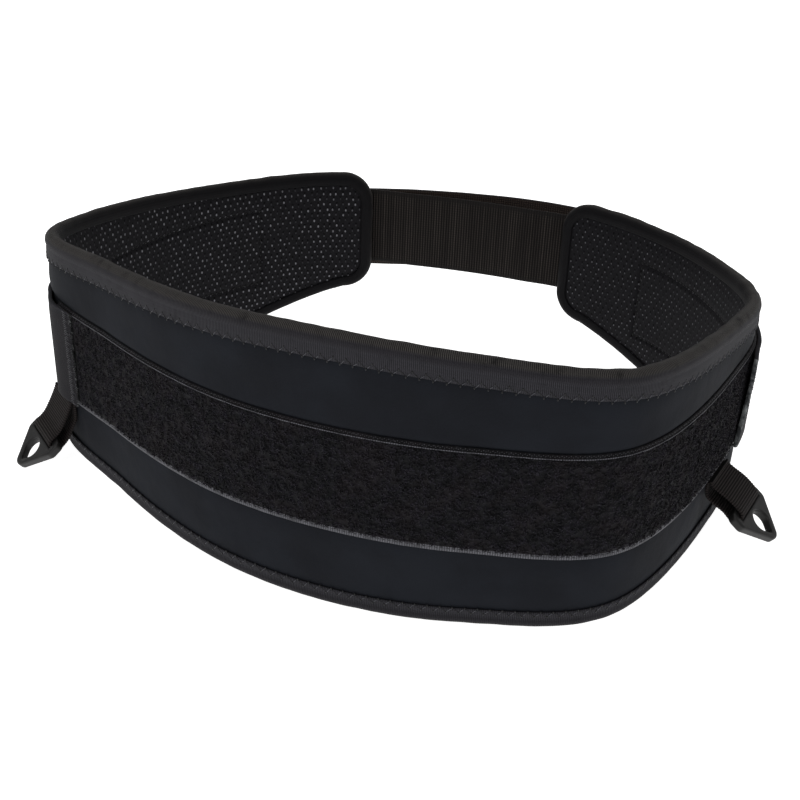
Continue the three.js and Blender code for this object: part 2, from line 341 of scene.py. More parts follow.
def add_thread(shape, at, turn, size):
    """Adds one stitch to a shape: a grain of thread of some length, width and height, turned on the face."""
    halves = Matrix.Diagonal((*(side / 2 for side in size), 1))
    matrix = at @ Matrix.Rotation(turn, 4, "Z") @ halves
    bmesh.ops.create_icosphere(shape, subdivisions=1, radius=1, matrix=matrix)


def yarn_strips(frames, bends, half_width):
    """Bent strips of yarn, one in each frame: bends holds their (x, z) points, and y is their width."""
    yarn = bmesh.new()
    columns, rows = 2 * len(frames) - 1, len(bends) - 1
    bmesh.ops.create_grid(yarn, x_segments=columns, y_segments=rows, size=0.5)
    gaps = [face for face in yarn.faces if int((face.calc_center_median().x + 0.5) * columns) % 2]
    bmesh.ops.delete(yarn, geom=gaps, context="FACES")
    for vert in yarn.verts:
        column = round((vert.co.x + 0.5) * columns)
        x, z = bends[round((vert.co.y + 0.5) * rows)]
        side = half_width if column % 2 else -half_width
        vert.co = frames[column // 2] @ Vector((x, side, z))
    return yarn


# Finishes

def dye(*values):
    """A colour in linear light, from the 0 to 255 values that a picture shows."""
    shares = [value / 255 for value in values]
    return (*(share / 12.92 if share <= 0.04045 else ((share + 0.055) / 1.055) ** 2.4 for share in shares), 1)


def settle(node, values):
    """Sets a node's unlinked sockets by name."""
    for name, value in values.items():
        node.inputs[name].default_value = value


class Varying:
    """A number that varies over a surface: plain arithmetic on it makes the nodes that work it out."""

    def __init__(self, finish, socket):
        self.finish = finish
        self.socket = socket

    def maths(self, operation, *others):
        """A Math node's result, with this number first."""
        return self.finish.maths(operation, self, *others)

    def __add__(self, other):
        return self.maths("ADD", other)

    def __sub__(self, other):
        return self.maths("SUBTRACT", other)

    def __rsub__(self, other):
        return self.finish.maths("SUBTRACT", other, self)

    def __mul__(self, other):
        return self.maths("MULTIPLY", other)

    def __truediv__(self, other):
        return self.maths("DIVIDE", other)

    def __abs__(self):
        return self.maths("ABSOLUTE")

    def scaled(self, factor, start):
        """The number times a factor, from a start."""
        return self.maths("MULTIPLY_ADD", factor, start)

    def ribs(self, pitch):
        """Rounded ribs from 0 to 1, a pitch apart."""
        return (self * (2 * math.pi / pitch)).maths("SINE").scaled(0.5, 0.5)

    def between(self, low, high):
        """0 below low and 1 above high, with a soft rise."""
        node = self.finish.node("ShaderNodeMapRange", self, low, high)
        node.interpolation_type = "SMOOTHSTEP"
        return Varying(self.finish, node.outputs[0])


class Finish:
    """A procedural material and the nodes that make it. Sizes are in millimetres."""

    def __init__(self, name, roughness, specular, sheen=0.01):
        self.material = bpy.data.materials.new(name)
        self.material.use_nodes = True
        self.tree = self.material.node_tree
        self.shader = self.tree.nodes["Principled BSDF"]
        settle(self.shader, {"Roughness": roughness, "Specular IOR Level": specular})
        settle(self.shader, {"Sheen Weight": sheen, "Sheen Roughness": 0.6})
        self.places = self.tree.nodes.new("ShaderNodeTexCoord")

    def feed(self, socket, value):
        """Gives a socket another node's output, or a plain value."""
        if isinstance(value, Varying):
            value = value.socket
        if isinstance(value, bpy.types.NodeSocket):
            self.tree.links.new(value, socket)
        else:
            socket.default_value = value

    def node(self, kind, *values):
        """A node with these values in its first sockets."""
        node = self.tree.nodes.new(kind)
        for socket, value in zip(node.inputs, values):
            self.feed(socket, value)
        return node

    def maths(self, operation, *values):
        """A Math node's result."""
        node = self.node("ShaderNodeMath", *values)
        node.operation = operation
        return Varying(self, node.outputs[0])

    def flat(self):
        """The place on the flat cloth, as two numbers in millimetres."""
        node = self.node("ShaderNodeSeparateXYZ", self.places.outputs["UV"])
        return Varying(self, node.outputs[0]), Varying(self, node.outputs[1])

    def mottle(self, size, detail=3.0, stretch=(1, 1, 1)):
        """Cloudy noise with patches of about that size, stretched along the frame's axes."""
        scale = self.node("ShaderNodeMapping", self.places.outputs["Object"])
        settle(scale, {"Scale": [1 / (size * MM * k) for k in stretch]})
        node = self.node("ShaderNodeTexNoise", scale.outputs[0])
        settle(node, {"Scale": 1, "Detail": detail})
        return Varying(self, node.outputs["Fac"])

    def chance(self, column, row):
        """A number from 0 to 1 that differs from cell to cell."""
        cell = self.node("ShaderNodeCombineXYZ", self.maths("FLOOR", column), self.maths("FLOOR", row))
        node = self.node("ShaderNodeTexWhiteNoise", cell.outputs[0])
        node.noise_dimensions = "2D"
        return Varying(self, node.outputs["Value"])

    def mix(self, share, first, second):
        """A colour between two colours."""
        node = self.tree.nodes.new("ShaderNodeMix")
        node.data_type = "RGBA"
        for i, value in ((0, share), (6, first), (7, second)):
            self.feed(node.inputs[i], value)
        return node.outputs[2]

    def dyed(self, colour, *layers):
        """The material in this colour, with its surface raised by layers of (height, millimetres)."""
        self.feed(self.shader.inputs["Base Color"], colour)
        normal = None
        for height, size in layers:
            node = self.tree.nodes.new("ShaderNodeBump")
            settle(node, {"Distance": size * MM})
            self.feed(node.inputs["Height"], height)
            if normal:
                self.feed(node.inputs["Normal"], normal)
            normal = node.outputs[0]
        if normal:
            self.feed(self.shader.inputs["Normal"], normal)
        return self.material


def neoprene_finish():
    """Smooth knitted face of the foam, blue-grey black, in faint clouds."""
    finish = Finish("neoprene_face", roughness=0.74, specular=0.05)
    along, up = finish.flat()
    clouds = finish.mottle(26, 4).between(0.3, 0.7)
    grain = finish.mottle(0.7, 2)
    shade = finish.mix(clouds, dye(19, 20, 24), dye(24, 26, 31))
    shade = finish.mix(grain * 0.3, shade, dye(30, 33, 39))
    knit = along.ribs(0.9) * up.ribs(0.7)
    return finish.dyed(shade, (finish.mottle(9, 2), 0.35), (knit, 0.03), (grain, 0.05))


def lining_finish():
    """Spacer mesh: a dark knit with staggered rows of pale grains of yarn, each over a pit that is dented in
    and coloured near-black as painted shade.

    Each grain lies a little out of its row, and the grains are finer on the right, where they are also
    painted dimmer as painted shade.
    """
    finish = Finish("spacer_mesh", roughness=0.78, specular=0.07)
    along, up = finish.flat()
    row = up / DOT_PITCH["up"]
    odd = row.maths("FLOOR").maths("FLOORED_MODULO", 2) * 0.5
    column = along / DOT_PITCH["along"] + odd
    luck = finish.chance(column, row)
    aside = finish.chance(column + 40, row).scaled(0.26, 0.37)
    raised = finish.chance(column, row + 70).scaled(0.24, 0.32)
    wide = (column.maths("FRACT") - aside) * (DOT_PITCH["along"] / DOT_SIZE["along"])
    tall = (row.maths("FRACT") - raised) * (DOT_PITCH["up"] / DOT_SIZE["up"])
    fine = along.between(60, 220)
    reach = (wide * wide + tall * tall) * fine.scaled(0.9, luck.scaled(-0.6, 1.6))
    grain = 1 - reach.between(0.25, 1.6)
    # painted shade: a pit just above each grain, dented in and coloured near-black for the shade inside it
    above = tall - 2.1
    shaded_pit = 1 - (wide * wide + above * above).between(0.3, 1.5)
    # painted shade: the pale grains are dimmed towards the right wing, which gets less light
    uneven = (luck * finish.mottle(1.6, 2)).between(0.02, 0.55) * fine.scaled(-0.4, 1)
    pale = finish.mix(uneven, dye(48, 48, 51), dye(124, 124, 129))
    ground = finish.mix(finish.mottle(1.1, 2), dye(10, 10, 12), dye(31, 30, 33))
    # painted shade: the pits are coloured near-black
    ground = finish.mix(shaded_pit, ground, dye(3, 3, 4))
    return finish.dyed(finish.mix(grain, ground, pale), (grain - shaded_pit, 0.35), (finish.mottle(0.6, 2), 0.12))


def binding_finish():
    """Ribbed elastic tape with a painted highlight that makes it browner and paler over the bead, painted
    shade in the crease beside the bead, and painted shade that makes it darker inside the belt.
    """
    finish = Finish("binding_tape", roughness=0.68, specular=0.09)
    along, round_edge = finish.flat()
    ribs = along.ribs(BINDING_RIB)
    # painted highlight: the bead's crown, where the rib colours are paler and browner
    rim = 1 - abs(round_edge).between(3.2, 5.2)
    # painted shade: the crease beside the bead is coloured darker
    crease_shade = 1 - abs(abs(round_edge) - 6).between(0.6, 2.6)
    # painted shade: the side inside the belt is coloured near-black, though it is the same tape
    inside = round_edge.between(0.2, 3.4)
    uneven = ribs * finish.mottle(6, 3).between(0.1, 0.5)
    tape = finish.mix(uneven, dye(28, 28, 31), dye(55, 54, 59))
    rib_tone = finish.mix(uneven, dye(10, 10, 10), dye(74, 71, 69))
    shade = finish.mix(crease_shade * 0.6, finish.mix(rim, tape, rib_tone), dye(27, 25, 29))
    shade = finish.mix(inside * 0.94, shade, dye(8, 7, 9))
    shade = finish.mix(finish.mottle(14, 3) * 0.2, shade, dye(20, 19, 22))
    return finish.dyed(shade, (ribs * (1 - inside * 0.7), 0.2), (ribs * round_edge.ribs(1.4), 0.05))


def thread_finish(name, low, high):
    """Twisted polyester thread."""
    finish = Finish(name, roughness=0.5, specular=0.22, sheen=0.04)
    strands = finish.mottle(0.35, 1)
    return finish.dyed(finish.mix(strands, low, high), (strands, 0.05))


def pile_finish(name, low, high):
    """Crushed loops of black yarn, in tufts that catch the light unevenly."""
    finish = Finish(name, roughness=0.8, specular=0.1, sheen=0.03)
    tufts = finish.mottle(3.3, 2).between(0.38, 0.66)
    specks = finish.mottle(0.9, 1).between(0.66, 0.78)
    warm = finish.mottle(11, 3).between(0.4, 0.65)
    shade = finish.mix(warm * 0.22, finish.mix(tufts, low, high), dye(32, 24, 27))
    shade = finish.mix(specks * 0.5, shade, dye(54, 52, 57))
    return finish.dyed(shade, (finish.mottle(3, 2), 1))


def selvedge_finish():
    """The band's bare ribbed edge."""
    finish = Finish("band_selvedge", roughness=0.6, specular=0.18, sheen=0.04)
    along, up = finish.flat()
    ribs = along.ribs(1.1) * finish.mottle(5, 3).between(0.2, 0.6)
    shade = finish.mix(ribs, dye(43, 43, 47), dye(94, 94, 100))
    return finish.dyed(shade, (ribs, 0.15), (up.ribs(0.7), 0.06))


def strap_finish():
    """Close-woven strap with fine slanting lines and a paler edge."""
    finish = Finish("strap_weave", roughness=0.72, specular=0.06)
    along, up = finish.flat()
    twill = (along + up).ribs(1.1)
    edge = abs(up).between(STRAP["height"] / 2 - 1.6, STRAP["height"] / 2)
    shade = finish.mix(twill, dye(10, 10, 12), dye(40, 38, 42))
    shade = finish.mix(finish.mottle(6, 4) * 0.5, shade, dye(17, 17, 20))
    shade = finish.mix(edge * 0.55, shade, dye(56, 56, 60))
    return finish.dyed(shade, (twill, 0.14), (finish.mottle(0.8, 2), 0.08))


def hook_finish():
    """The strap's inner side: short stiff hooks, brownish, in rows."""
    finish = Finish("strap_hooks", roughness=0.6, specular=0.12, sheen=0.02)
    along, up = finish.flat()
    hooks = along.ribs(1.3) * up.ribs(1.3)
    shade = finish.mix(hooks, dye(24, 19, 17), dye(74, 60, 53))
    shade = finish.mix(finish.mottle(4, 3) * 0.4, shade, dye(36, 29, 26))
    return finish.dyed(shade, (hooks, 0.4))


def elastic_finish():
    """Ribbed elastic, brown-black, with a plain edge at the top and bottom."""
    finish = Finish("elastic_weave", roughness=0.7, specular=0.07)
    along, up = finish.flat()
    half = ELASTIC["height"] / 2
    edge = abs(up - ELASTIC["rise"]).between(half - 3, half - 2.2)
    knots = along.ribs(ELASTIC_RIB) * up.ribs(1.5).scaled(0.5, 0.5)
    rib_tone = finish.chance(along / ELASTIC_RIB, 0).scaled(0.45, 0.6)
    streaks = finish.mottle(5, 3, (1, 1, 9)).between(0.35, 0.65)
    shade = finish.mix(knots * rib_tone, dye(7, 6, 6), dye(64, 59, 56))
    shade = finish.mix(streaks * 0.35, shade, dye(17, 15, 15))
    return finish.dyed(finish.mix(edge * 0.7, shade, dye(26, 24, 24)), (knots, 0.15))


def webbing_finish():
    """Heavy grosgrain webbing, with painted highlights on its ribs and painted shade between them."""
    finish = Finish("tab_weave", roughness=0.7, specular=0.06)
    along, across = finish.flat()
    ribs = (along + 0.75 * WEBBING["rib"]).ribs(WEBBING["rib"])
    # painted highlight and shade: each rib is coloured pale on its crest and near-black between ribs
    shade = finish.mix(ribs, dye(2, 2, 2), dye(50, 45, 44))
    shade = finish.mix(finish.mottle(2.5, 3) * 0.3, shade, dye(20, 18, 19))
    return finish.dyed(shade, (ribs * across.ribs(1.1), 0.15), (finish.mottle(0.5, 2), 0.05))


def ring_finish():
    """Moulded plastic, fine-grained and a little rubbed."""
    finish = Finish("ring_plastic", roughness=0.42, specular=0.28, sheen=0)
    rubbed = finish.mottle(5, 4).between(0.45, 0.75)
    shade = finish.mix(rubbed, dye(20, 19, 19), dye(30, 29, 28))
    return finish.dyed(shade, (finish.mottle(0.5, 3), 0.05), (finish.mottle(6, 2), 0.12))


# The support

def layer_stations(inset, interior):
    """A layer's places along the belt, with rounded ends, each with how full the layer is there."""
    end = SUPPORT_END - inset
    turns = [math.radians(10 * i) for i in range(1, 9)]
    right = [CORNER + (CORNER_RADIUS - inset) * math.sin(turn) for turn in turns]
    places = [-place for place in reversed(right)] + interior + right
    return [(-end, 0), (-end, 1), *((place, 1) for place in places), (end, 1), (end, 0)]


def layer_section(outer_rows, inner_rows):
    """Marks round a layer, as (share of its height, side), from its bottom up the outer face and back."""
    outer = [(i / outer_rows, 1) for i in range(outer_rows + 1)]
    inner = [(1 - i / inner_rows, -1) for i in range(inner_rows + 1)]
    return [*outer, *inner, (0, 1)]


def support_layer(layer, stations, section, relief):
    """One layer of the support, with relief(along, up, side) added to its faces."""
    middle = (layer["inner"] + layer["outer"]) / 2
    half = (layer["outer"] - layer["inner"]) / 2

    def place(station, mark):
        along, fullness = station
        share, side = mark
        bottom, top = support_edges(along, layer["inset"])
        up = bottom + share * (top - bottom)
        out = middle + side * fullness * half + relief(along, up, side)
        return on_belt(along, up, out), (along, up)

    return woven(stations, section, place)


def binding_width(upward):
    """The outer leg of the binding, wider along the top than along the bottom."""
    return (BINDING_WIDE + BINDING_NARROW) / 2 + upward * (BINDING_WIDE - BINDING_NARROW) / 2


def foam_relief(along, up, side):
    """How the foam swells between the band's edge and the binding, and dips where they hold it."""
    if side < 0:
        return 0
    bottom, top = support_edges(along, 0)
    beyond_band = abs(up) - BAND_HALF
    if beyond_band <= 0:
        return 0
    if up > 0:
        to_binding = top - binding_width(1) - up
        swell = FOAM_SWELL * (1 - math.exp(-beyond_band / 0.9))
    else:
        to_binding = up - bottom - binding_width(-1)
        swell = FOAM_SWELL * 0.8 * (1 - math.exp(-beyond_band / 4))
        for tab in TABS:
            swell *= eased(abs(along - tab["along"]), 15, 26)
    swell *= 1 - math.exp(-max(0, to_binding) / 3)
    waves = drift(along / 34, up / 20, 3) * 0.5
    return swell + waves * min(1, max(0, to_binding) / 8) * min(1, beyond_band / 8)


def neoprene_support():
    """The belt's foam body, with its smooth face outwards."""
    stations = layer_stations(NEOPRENE["inset"], spaced(-CORNER, CORNER, SUPPORT_STEP))
    shape = support_layer(NEOPRENE, stations, layer_section(outer_rows=120, inner_rows=3), foam_relief)
    piece = piece_of("support_foam", shape, [neoprene_finish()], "neoprene", "neoprene_support")


def box_groove(along, up):
    """How deep the lining is drawn in by the stitched boxes, from 0 to 1."""
    depth = 0
    for start, end, bottom, top in LINING_BOXES:
        beyond = max(start - along, along - end, bottom - up, up - top)
        depth = max(depth, math.exp(-((beyond / 1.3) ** 2)))
    return depth


def lining_relief(along, up, side):
    """The lining's soft puffs between its seams, on the side that faces the waist."""
    if side > 0:
        return 0
    bottom, top = support_edges(along, 0)
    clear = min(top - up, up - bottom, SUPPORT_END - abs(along)) - BINDING_INSIDE
    puff = 0.9 * eased(clear, -1, 7) + 0.25 * drift(along / 16, up / 16, 7)
    return -puff * (1 - box_groove(along, up)) + 0.3 * box_groove(along, up)


def lining_stitches():
    """The thread of the stitched boxes, along their top, their bottom and their nearer end."""
    stitches = bmesh.new()
    for start, end, bottom, top in LINING_BOXES:
        near = start if start < 0 else end
        places = [(along, up, 0) for up in (bottom, top) for along in spaced(start, end, LINING_STITCH)]
        places += [(near, up, math.pi / 2) for up in spaced(bottom, top, LINING_STITCH)]
        for along, up, turn in places:
            at = belt_frame(along, up, LINING["inner"] + 0.15)
            add_thread(stitches, at, turn, size=(2.5, 0.75, 0.6))
    return stitches


def lining_area():
    """The lining's flat area in square millimetres, summed in strips 2 mm wide."""
    end = SUPPORT_END - LINING["inset"]
    strips = (support_edges(along, LINING["inset"]) for along in range(1 - end, end, 2))
    return sum((top - bottom) * 2 for bottom, top in strips)


def mesh_lining():
    """The spacer mesh inside the belt, stitched through in a box near each end."""
    interior = set(spaced(-CORNER, CORNER, SUPPORT_STEP))
    for start, end, _, _ in LINING_BOXES:
        for seam in (start, end):
            interior.update(seam + step for step in (-3, -2, -1.2, -0.6, 0, 0.6, 1.2, 2, 3))
    stations = layer_stations(LINING["inset"], sorted(interior))
    shape = support_layer(LINING, stations, layer_section(outer_rows=4, inner_rows=96), lining_relief)
    piece = piece_of("lining_mesh", shape, [lining_finish()], "spacer_mesh", "mesh_lining")
    dark = thread_finish("seam_thread", dye(3, 3, 4), dye(11, 11, 12))
    seam = piece_of("lining_seams", lining_stitches(), [dark], "spacer_mesh")
    area = lining_area() * MM * MM


# The binding

def half_path(pitch, ends, side):
    """The support's edge from the right end's middle to the left end's, over its top or under it.

    side is 1 for the top and -1 for the bottom, and the rows are (along, up, inward along, inward up).
    """
    level = ends[side > 0]
    straight = spaced(sum(ends) / 2, level - side * CORNER_RADIUS, pitch)[:-1]
    quarter = [(SUPPORT_END, up, -1, 0) for up in straight]
    for turn in (math.radians(6 * i) for i in range(16)):
        along = CORNER + CORNER_RADIUS * math.cos(turn)
        up = level - side * (CORNER_RADIUS * (1 - math.sin(turn)))
        quarter.append((along, up, -math.cos(turn), -side * math.sin(turn)))
    posts = reversed(spaced(-CORNER, CORNER, pitch)[1:-1])
    middle = [(along, support_edges(along, 0)[side > 0], 0, -side) for along in posts]
    mirrored = [(-along, up, -in_along, in_up) for along, up, in_along, in_up in reversed(quarter)]
    return quarter + middle + mirrored


def binding_path(pitch):
    """The support's whole edge, from the right end's middle over the top and back along the bottom."""
    ends = support_edges(CORNER, 0)
    return half_path(pitch, ends, 1) + half_path(pitch, ends, -1)[-2::-1]


def with_lengths(path):
    """The path's points, each with how far along the path it is."""
    travelled = 0
    rows = []
    for i, point in enumerate(path):
        if i:
            travelled += math.hypot(point[0] - path[i - 1][0], point[1] - path[i - 1][1])
        rows.append((*point, travelled))
    return rows


def binding_section():
    """Marks round the binding, as (depth, out, how far round it), from its outer leg over the bead."""
    inner = -2 * BEAD
    swollen = BEAD + 0.15
    rises = [(1, -0.45), (0.965, -0.1), (0.86, 0), (0.74, 0.02), (0.64, -0.03), (0.55, -0.16), (0.48, -0.3)]
    leg = [(share * BINDING_WIDE, out) for share, out in rises]
    turns = [math.radians(74 + 17.5 * i) for i in range(13)]
    bead = [(BEAD + swollen * math.cos(turn), swollen * math.sin(turn) - BEAD) for turn in turns]
    far = BINDING_INSIDE
    back_leg = [(BEAD + 1.5, inner + 0.05), (far - 0.9, inner + 0.3), (far, inner + 0.65)]
    under = [(far - 0.3, inner + TAPE), (BEAD * 0.9, inner + TAPE), (BEAD * 0.9, -TAPE)]
    marks = with_lengths([*leg, *bead, *back_leg, *under, (BINDING_WIDE * 0.98, -TAPE), leg[0]])
    crown = marks[len(leg) + 6][2]
    return [(depth, out, travelled - crown) for depth, out, travelled in marks]


def narrowed(depth, upward):
    """A depth on the binding, with its flat leg drawn in where the tape is narrower."""
    flat_from = BINDING_INSIDE
    if depth <= flat_from:
        return depth
    return flat_from + (depth - flat_from) * (binding_width(upward) - flat_from) / (BINDING_WIDE - flat_from)


def edge_binding():
    """The tape folded over the support's edge, fat over the edge and sewn flat on both faces."""
    path = with_lengths(binding_path(TAPE_STEP))

    def place(station, mark):
        along, up, in_along, in_up, travelled = station
        depth, out, around = mark
        depth = narrowed(depth, -in_up)
        rim = eased(-abs(around), -7.5, -3) * (1 if in_up <= 0 else 0.45)
        short_lump = 0.4 * drift(travelled / 9, 0, 1)
        long_lump = 0.3 * drift(travelled / 28, 0, 6)
        lump = rim * (short_lump + long_lump)
        depth -= lump * math.cos(around / BEAD)
        out += lump * -math.sin(around / BEAD)
        return on_belt(along + in_along * depth, up + in_up * depth, out), (travelled, around)

    shape = woven(path, binding_section(), place)
    tape = piece_of("edge_tape", shape, [binding_finish()], "binding_tape", "edge_binding")
    pale = thread_finish("zigzag_thread", dye(36, 36, 40), dye(82, 82, 88))
    zigzag = piece_of("edge_zigzag", zigzag_stitches(), [pale], "binding_tape")
    # painted shade: the sunk arms and needle holes use a near-black thread for the shade they sit in
    dark = thread_finish("shaded_sunk_thread", dye(6, 6, 7), dye(14, 14, 16))
    sunk = piece_of("edge_zigzag_sunk", sunk_stitches(), [dark], "binding_tape")
    width = BINDING_WIDE + BINDING_INSIDE + (math.pi - 2) * BEAD
    flat = (width * MM, path[-1][4] * MM)


def zigzag_posts(out):
    """A frame at each pale arm of the zigzag, and the way that the tape runs there."""
    for along, up, in_along, in_up in binding_path(ZIGZAG["pitch"])[:-1]:
        depth = binding_width(-in_up) - ZIGZAG["inset"]
        yield belt_frame(along + in_along * depth, up + in_up * depth, out), math.atan2(in_along, -in_up)


def zigzag_stitches():
    """Zigzag stitching near the binding's outer edge, of pale arms that slant one way."""
    chance = random.Random(3)
    stitches = bmesh.new()
    for at, way in zigzag_posts(0.1):
        turn = way + ZIGZAG["slant"] + math.radians(chance.uniform(-9, 9))
        add_thread(stitches, at, turn, size=(ZIGZAG["arm"] + chance.uniform(-1.4, 0.3), 0.42, 0.5))
    return stitches


def sunk_stitches():
    """The zigzag's other arms and its needle holes, which sink into the tape: they are made in near-black
    thread as painted shade.
    """
    sunk = bmesh.new()
    half = ZIGZAG["pitch"] / 2
    for at, way in zigzag_posts(0.02):
        middle = Matrix.Translation((half * math.cos(way), half * math.sin(way), 0))
        add_thread(sunk, at @ middle, way - ZIGZAG["slant"], size=(ZIGZAG["arm"], 0.36, 0.3))
        slant = Matrix.Rotation(way + ZIGZAG["slant"], 4, "Z")
        # painted shade: a dark grain at each needle hole stands for the shade in it
        for side in (-1, 1):
            hole = slant @ Matrix.Translation((side * 1.9, 0, 0))
            add_thread(sunk, at @ hole, math.pi / 2 - ZIGZAG["slant"], size=(1.5, 0.8, 0.4))
    return sunk


# The loop band

def band_section():
    """Marks round the band, as (up, out), from its bottom up the outer face and back."""
    half, face = BAND_HALF, BAND_FACE
    marks = [(-half, BAND["inner"] + 0.2), (-half + 0.25, face - 0.55), (-half + 0.7, face - 0.3)]
    marks += [(-half + 1.3, face - 0.28), (-half + SELVEDGE, face - 0.35)]
    marks += [(up, face - 0.1) for up in spaced(-half + SELVEDGE + 1, half - SELVEDGE - 0.8, 4)]
    ridge = half - RIDGE_DOWN
    marks += [(ridge - 0.45, face - 0.4), (ridge - 0.25, face), (ridge, face + 0.12)]
    marks += [(ridge + 0.25, face), (ridge + 0.45, face - 0.5), (half - 0.5, face - 0.6), (half, face - 1)]
    marks += [(up, BAND["inner"]) for up in spaced(half - 0.3, -half + 0.3, 9)]
    marks.append(marks[0])
    return marks


def loop_band():
    """The band sewn round the front: a base cloth with bare edges, and its pile of loops."""
    stations = [(BAND["from"], 0), (BAND["from"], 1)]
    stations += [(along, 1) for along in spaced(BAND["from"] + 0.5, BAND["to"] - 0.5, 2)]
    stations += [(BAND["to"], 1), (BAND["to"], 0)]
    middle = BAND["inner"] + BAND["thickness"] / 2

    def place(station, mark):
        along, fullness = station
        up, out = mark
        ripple = 0.12 * drift(along / 5, up / 30, 5) if abs(up) > 24 else 0
        return on_belt(along, up + ripple, middle + (out - middle) * fullness), (along, up)

    shape = woven(stations, band_section(), place)
    flat = shape.loops.layers.uv.active
    for face in shape.faces:
        height = sum(corner[flat].uv.y for corner in face.loops) / len(face.loops)
        ridge = abs(height - BAND_HALF + RIDGE_DOWN) < 0.3
        face.material_index = 1 if ridge or height < SELVEDGE - BAND_HALF else 0
    ground = pile_finish("band_ground", dye(7, 7, 9), dye(18, 18, 21))
    band = piece_of("band_cloth", shape, [ground, selvedge_finish()], "loop_pile", "loop_band")
    yarn = pile_finish("loop_yarn", dye(9, 9, 13), dye(28, 26, 33))
    pile = piece_of("band_pile", band_pile(), [yarn], "loop_pile")
    pale = thread_finish("band_thread", dye(30, 30, 33), dye(74, 74, 79))
    sewing = piece_of("band_sewing", band_sewing(), [pale], "loop_pile")
    flat = (BAND["height"] * MM, (BAND["to"] - BAND["from"]) * MM)


def band_pile():
    """Short loops of yarn, leaning this way and that, and pressed flatter under the strap's end."""
    chance = random.Random(11)
    bottom = SELVEDGE - BAND_HALF
    top = BAND_HALF - RIDGE_DOWN - 0.5
    start = SEWN_END + 1.5
    free_end = BELT_LENGTH + FREE_END
    face = BAND_FACE - 0.15
    frames = []
    while len(frames) < PILE_LOOPS:
        along = chance.uniform(start, BAND["to"] - 1)
        up = chance.uniform(bottom, top)
        on_line = min(abs(along - line) for line in PRESSED_LINES) < 0.5
        if on_line and chance.random() < 0.8:
            continue
        if up < bottom + 0.7 * drift(along / 3, 0, 13):
            continue
        tuft = drift(along / 3, up / 3, 9)
        if tuft < -0.22 and chance.random() < 0.5:
            continue
        rise = (0.8 + 0.6 * tuft) * chance.uniform(0.85, 1.15)
        if along > free_end - 3:
            rise = min(rise, 0.6)
        turn = Matrix.Rotation(chance.uniform(0, math.pi), 4, "Z")
        lean = Matrix.Rotation(math.radians(chance.uniform(-40, 40)), 4, "X")
        size = Matrix.Diagonal((chance.uniform(0.8, 1.4), 1, rise, 1))
        frames.append(belt_frame(along, up, face) @ turn @ lean @ size)
    arch = [(-0.6, -0.2), (-0.38, 0.85), (0.34, 1), (0.6, -0.2)]
    return yarn_strips(frames, arch, half_width=0.2)


def band_sewing():
    """Small slanting stitches along the band's top edge and straight ones along its bottom edge."""
    sewing = bmesh.new()
    half, face = BAND_HALF, BAND_FACE
    start, end = BAND["from"] + 2, BAND["to"] - 2
    for i, along in enumerate(spaced(start, end, 0.95)):
        at = belt_frame(along, half - (0.55 if i % 2 else 1.1), face - 0.55)
        add_thread(sewing, at, math.radians(58), size=(0.62, 0.34, 0.4))
    for along in spaced(start, end, 2.6):
        add_thread(sewing, belt_frame(along, -half + 1.9, face - 0.22), 0, size=(1.9, 0.35, 0.35))
    return sewing


# The strap and the elastic

def ribbon_section(half, margin, pitch, rim, far):
    """Marks round a ribbon, as (across, face), where face is 1 on its outer side and far on its inner."""
    lifts = spaced(margin - half, half - margin, pitch)
    marks = [(across, 1) for across in lifts]
    marks += rim
    marks += [(across, far) for across in reversed(lifts)]
    marks += [(-across, 1 + far - face) for across, face in rim]
    marks.append(marks[0])
    return marks


def strap_stations(start, end, pitch):
    """A strap's places along the belt, with rounded ends, each with how full the strap is there."""
    rounding = [(0, 0), (0.1, 0.55), (0.4, 0.88), (0.9, 1)]
    stations = [(start + step, full) for step, full in rounding]
    stations += [(along, 1) for along in spaced(start + 2, end - 2, pitch)]
    stations += [(end - step, full) for step, full in reversed(rounding)]
    return stations


def strap_spot(route, strap, along, up, face, ripple):
    """Where a place on a strap lies, as (along, up, out).

    The sewn end is pressed thin, and it is as high as the band.
    """
    sewn = eased(along, SEWN_END - 60, SEWN_END - 10)
    pressed = 1 - 0.6 * eased(along, SEWN_END - 16, SEWN_END)
    out = graded(route, along) + strap["thickness"] * pressed * face + ripple(along, up, face)
    return along, up * (1 + 0.055 * sewn), out


def run_strap(route, strap, ripple, pitch, rows):
    """A strap on its route, with ripple(along, up, face) added to its faces.

    face is 0 on its inner side and 1 on its outer side.
    """
    def place(station, mark):
        along, fullness = station
        across, face = mark
        up = strap["rise"] + across
        spot = strap_spot(route, strap, along, up, 0.5 + (face - 0.5) * fullness, ripple)
        return on_belt(*spot), (along, up)

    half = strap["height"] / 2
    rim = [(half - 0.12, 0.86), (half, 0.5), (half - 0.12, 0.14)]
    section = ribbon_section(half, 0.5, (strap["height"] - 1) / rows, rim, 0)
    return woven(strap_stations(route[0][0], route[-1][0], pitch), section, place)


def strap_ripple(along, up, face):
    """The strap's slight waviness along its edges and a faint groove inside them."""
    edge = eased(abs(up), 19, 25)
    groove = math.exp(-(((abs(up) - 22.2) / 0.8) ** 2))
    wave = 0.35 * edge * drift(along / 14, up / 40, 2)
    free = max(0, (FREE_END + 15 - along) / 15) ** 1.6
    peel = free * STRAP_PEEL * eased(up, -27, 16)
    return wave + peel - 0.12 * groove * max(0, 2 * face - 1)


def strap_bars():
    """Close rows of thread across the strap's sewn end."""
    bars = bmesh.new()
    chance = random.Random(8)
    out = STRAP_ROUTE[-1][1] + STRAP["thickness"] * 0.42 + 0.2
    reach = STRAP["height"] / 2 + 0.6
    for up in spaced(-reach, reach, 1.1):
        slant = math.radians(chance.uniform(-7, 7))
        at = belt_frame(SEWN_END - 3.8 + chance.uniform(-1.3, 0.9), up, out)
        add_thread(bars, at, slant, size=(chance.uniform(3.6, 7.2), 0.4, 0.6))
    return bars


